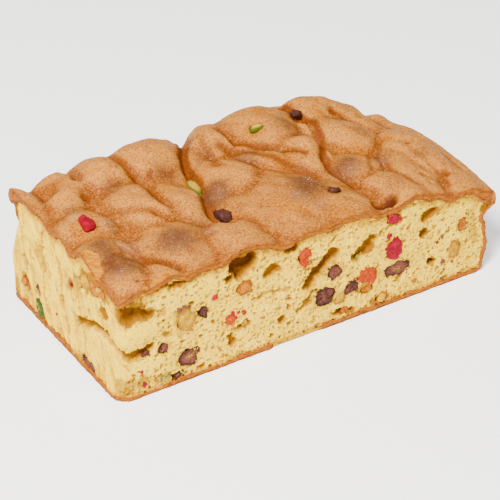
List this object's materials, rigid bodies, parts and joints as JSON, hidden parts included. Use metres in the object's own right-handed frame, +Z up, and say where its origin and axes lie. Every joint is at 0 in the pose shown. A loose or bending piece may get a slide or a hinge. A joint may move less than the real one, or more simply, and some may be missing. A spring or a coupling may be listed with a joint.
{
  "type": "fruit cake loaf",
  "caption": "Block cut from a flat-baked fruit cake: pale airy crumb with raisins and candied fruit, two cut faces, and a folded golden crust lipping over two baked sides.",
  "frame": {"origin": "middle of the flat base, at the middle of the cake's box", "axes": "+X along the length from the cut end to the baked end, +Y from the cut front to the baked back, +Z up"},
  "size_m": [0.2134, 0.1088, 0.0713],
  "materials": {
    "crumb": "matte",
    "crust": "satin",
    "cherry": "gloss",
    "papaya": "satin",
    "raisin": "satin",
    "lemon_peel": "satin",
    "orange_peel": "satin",
    "angelica": "satin"
  },
  "bodies": {
    "root": {"cake": "crumb", "cherry_glossy": "cherry", "cherry_under_crust": "cherry", "papaya_upper": "papaya", "papaya_lower": "papaya", "papaya_crumbled": "papaya", "raisin_middle_large": "raisin", "raisin_middle_upper": "raisin", "raisin_middle_right": "raisin", "raisin_right": "raisin", "raisin_left_large": "raisin", "raisin_left_low": "raisin", "raisin_left_small": "raisin", "raisin_left_end": "raisin", "plum_dark": "raisin", "peel_in_hollow": "lemon_peel", "peel_under_heart": "orange_peel", "peel_middle": "lemon_peel", "peel_middle_low": "orange_peel", "peel_right_low": "orange_peel", "peel_right_small": "orange_peel", "peel_yellow_end": "lemon_peel", "peel_golden_end": "orange_peel", "angelica_side": "angelica", "raisin_side": "raisin", "raisin_side_low": "raisin", "peel_side_yellow": "lemon_peel", "peel_side_back": "orange_peel", "cherry_top": "cherry", "angelica_top": "angelica", "raisin_top_left": "raisin", "raisin_top_right": "raisin", "angelica_top_back": "angelica", "raisin_top_back": "raisin"}
  },
  "joints": []
}
